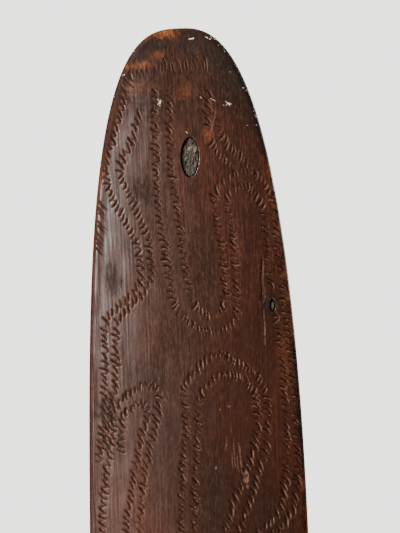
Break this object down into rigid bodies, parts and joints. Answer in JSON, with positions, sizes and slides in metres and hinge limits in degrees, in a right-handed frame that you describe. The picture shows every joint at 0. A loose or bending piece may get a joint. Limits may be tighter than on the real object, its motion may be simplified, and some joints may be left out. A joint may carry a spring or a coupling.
{
  "type": "carved wooden boomerang",
  "caption": "Non-returning hardwood boomerang with a cambered, line-carved front face, a flat back, rounded edges and a dead knot near one tip.",
  "frame": {"origin": "on the flat back, in the middle of the elbow", "axes": "+Z from the lower tip to the upper tip, which has the knots; +X towards the outer, convex side of the bend; the carved front face looks along -Y and the flat back is the plane Y = 0"},
  "size_m": [0.1261, 0.0105, 0.6644],
  "materials": {
    "hardwood": "satin, hand rubbed",
    "weathered_knot": "rough, dry",
    "bark": "rough, dry"
  },
  "bodies": {
    "root": {"blade": "hardwood", "knot_core": "weathered_knot", "knot_bark": "bark", "pin_knot": "weathered_knot"}
  },
  "joints": []
}
